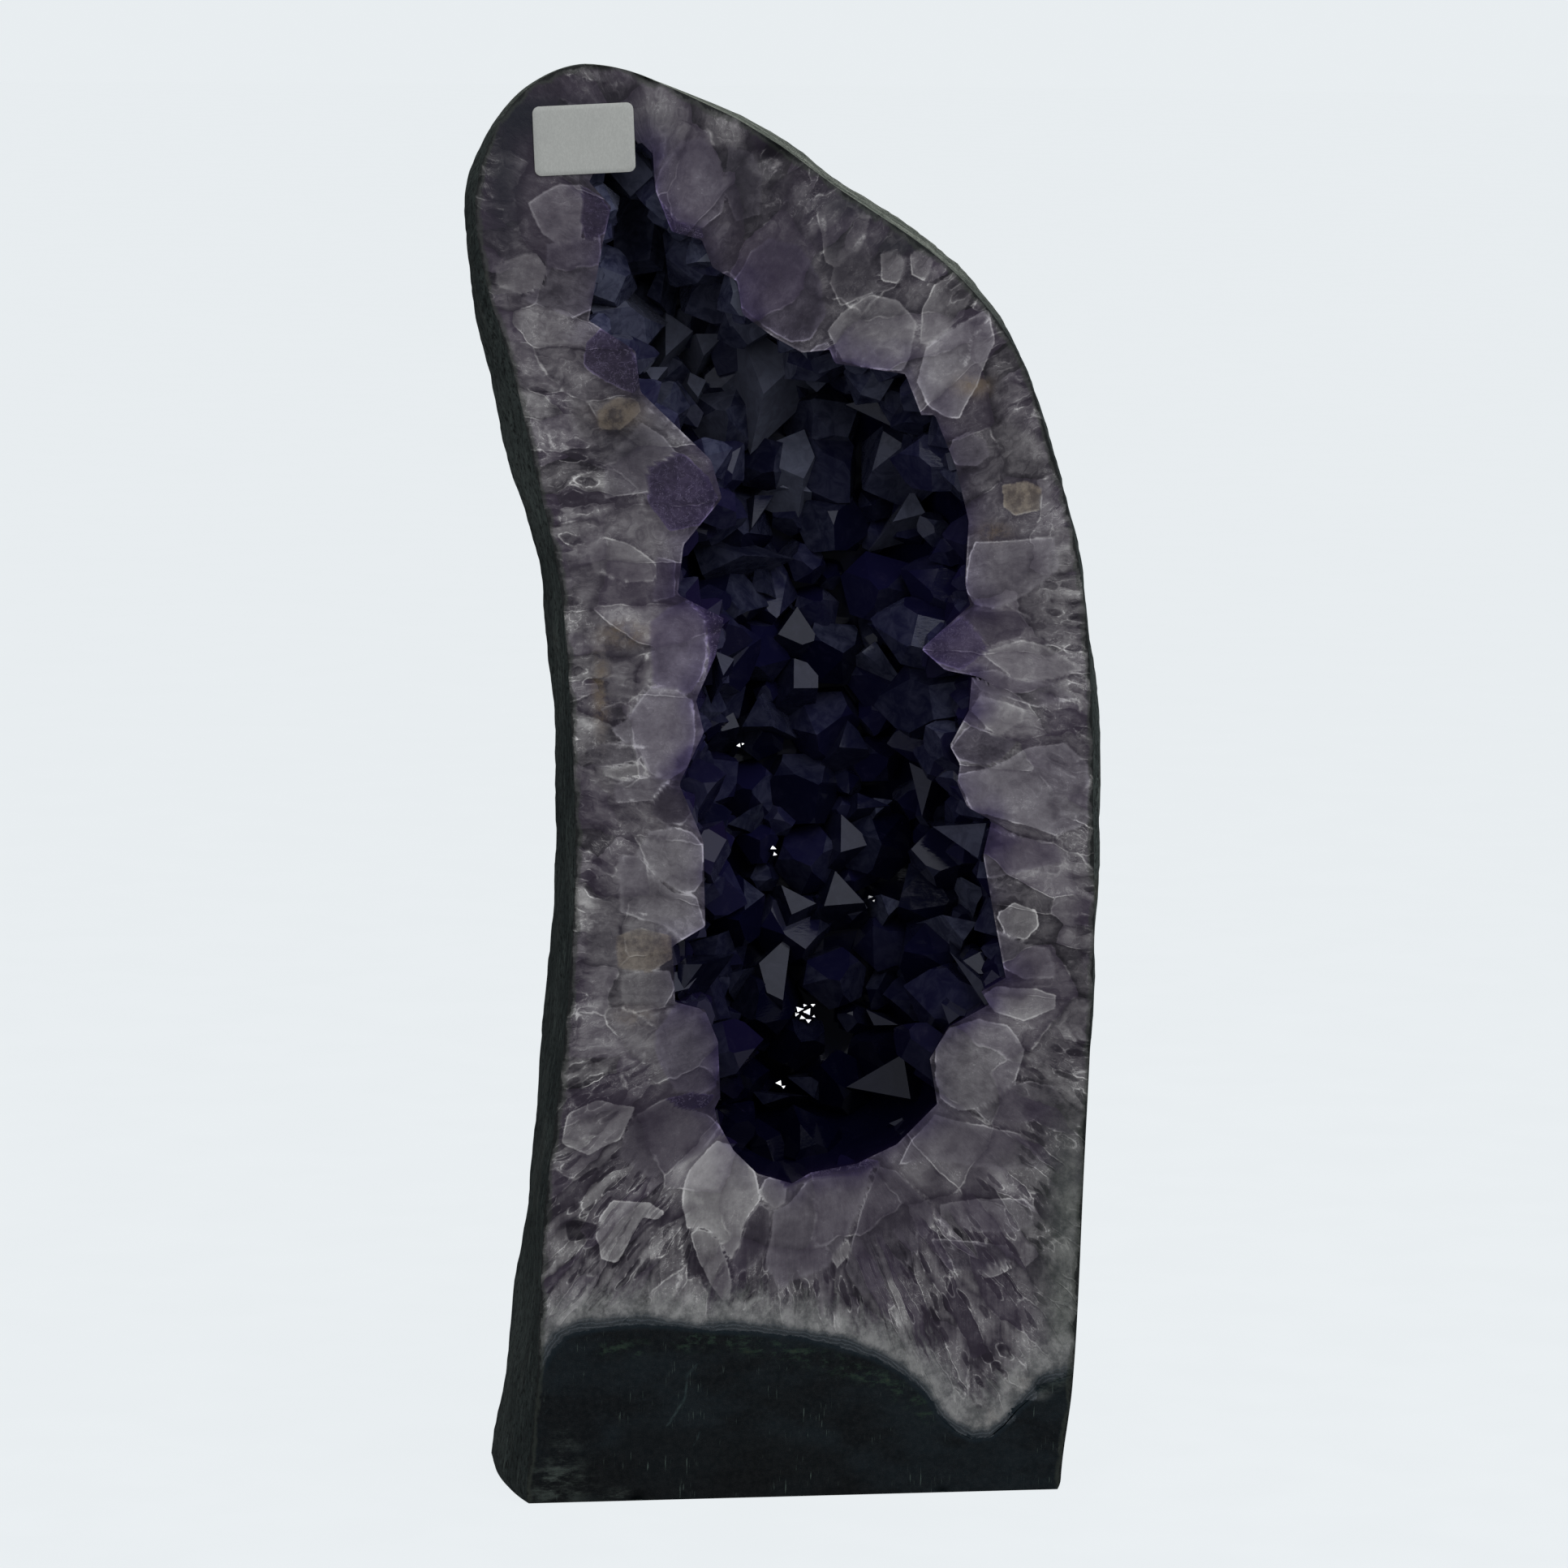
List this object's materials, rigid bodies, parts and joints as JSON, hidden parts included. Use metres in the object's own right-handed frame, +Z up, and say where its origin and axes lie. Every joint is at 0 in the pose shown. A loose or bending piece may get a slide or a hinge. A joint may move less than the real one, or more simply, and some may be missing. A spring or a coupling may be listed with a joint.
{
  "type": "amethyst druse",
  "caption": "Tall half of a geode, sawn flat in front and at the foot, with an oblique hollow lined with pointed dark purple crystals, that stands upright as a display piece.",
  "frame": {"origin": "the middle of the stone's bounding box, on the plane of its flat foot", "axes": "+Z up along the stone's height, -Y out of the sawn face and its hollow, +X to the right as the sawn face is looked at"},
  "size_m": [0.2378, 0.1029, 0.531],
  "materials": {
    "stone_shell": "cloudy grey-lavender quartz band over a dark basalt foot, sawn and half polished in front, with a rough dark rind behind",
    "amethyst_crystal": "glassy dark purple crystals with plain natural facets",
    "label_paper": "matte white paper, blank"
  },
  "bodies": {
    "root": {"geode_body": "stone_shell", "crystal_crust": "amethyst_crystal", "paper_label": "label_paper"}
  },
  "joints": []
}
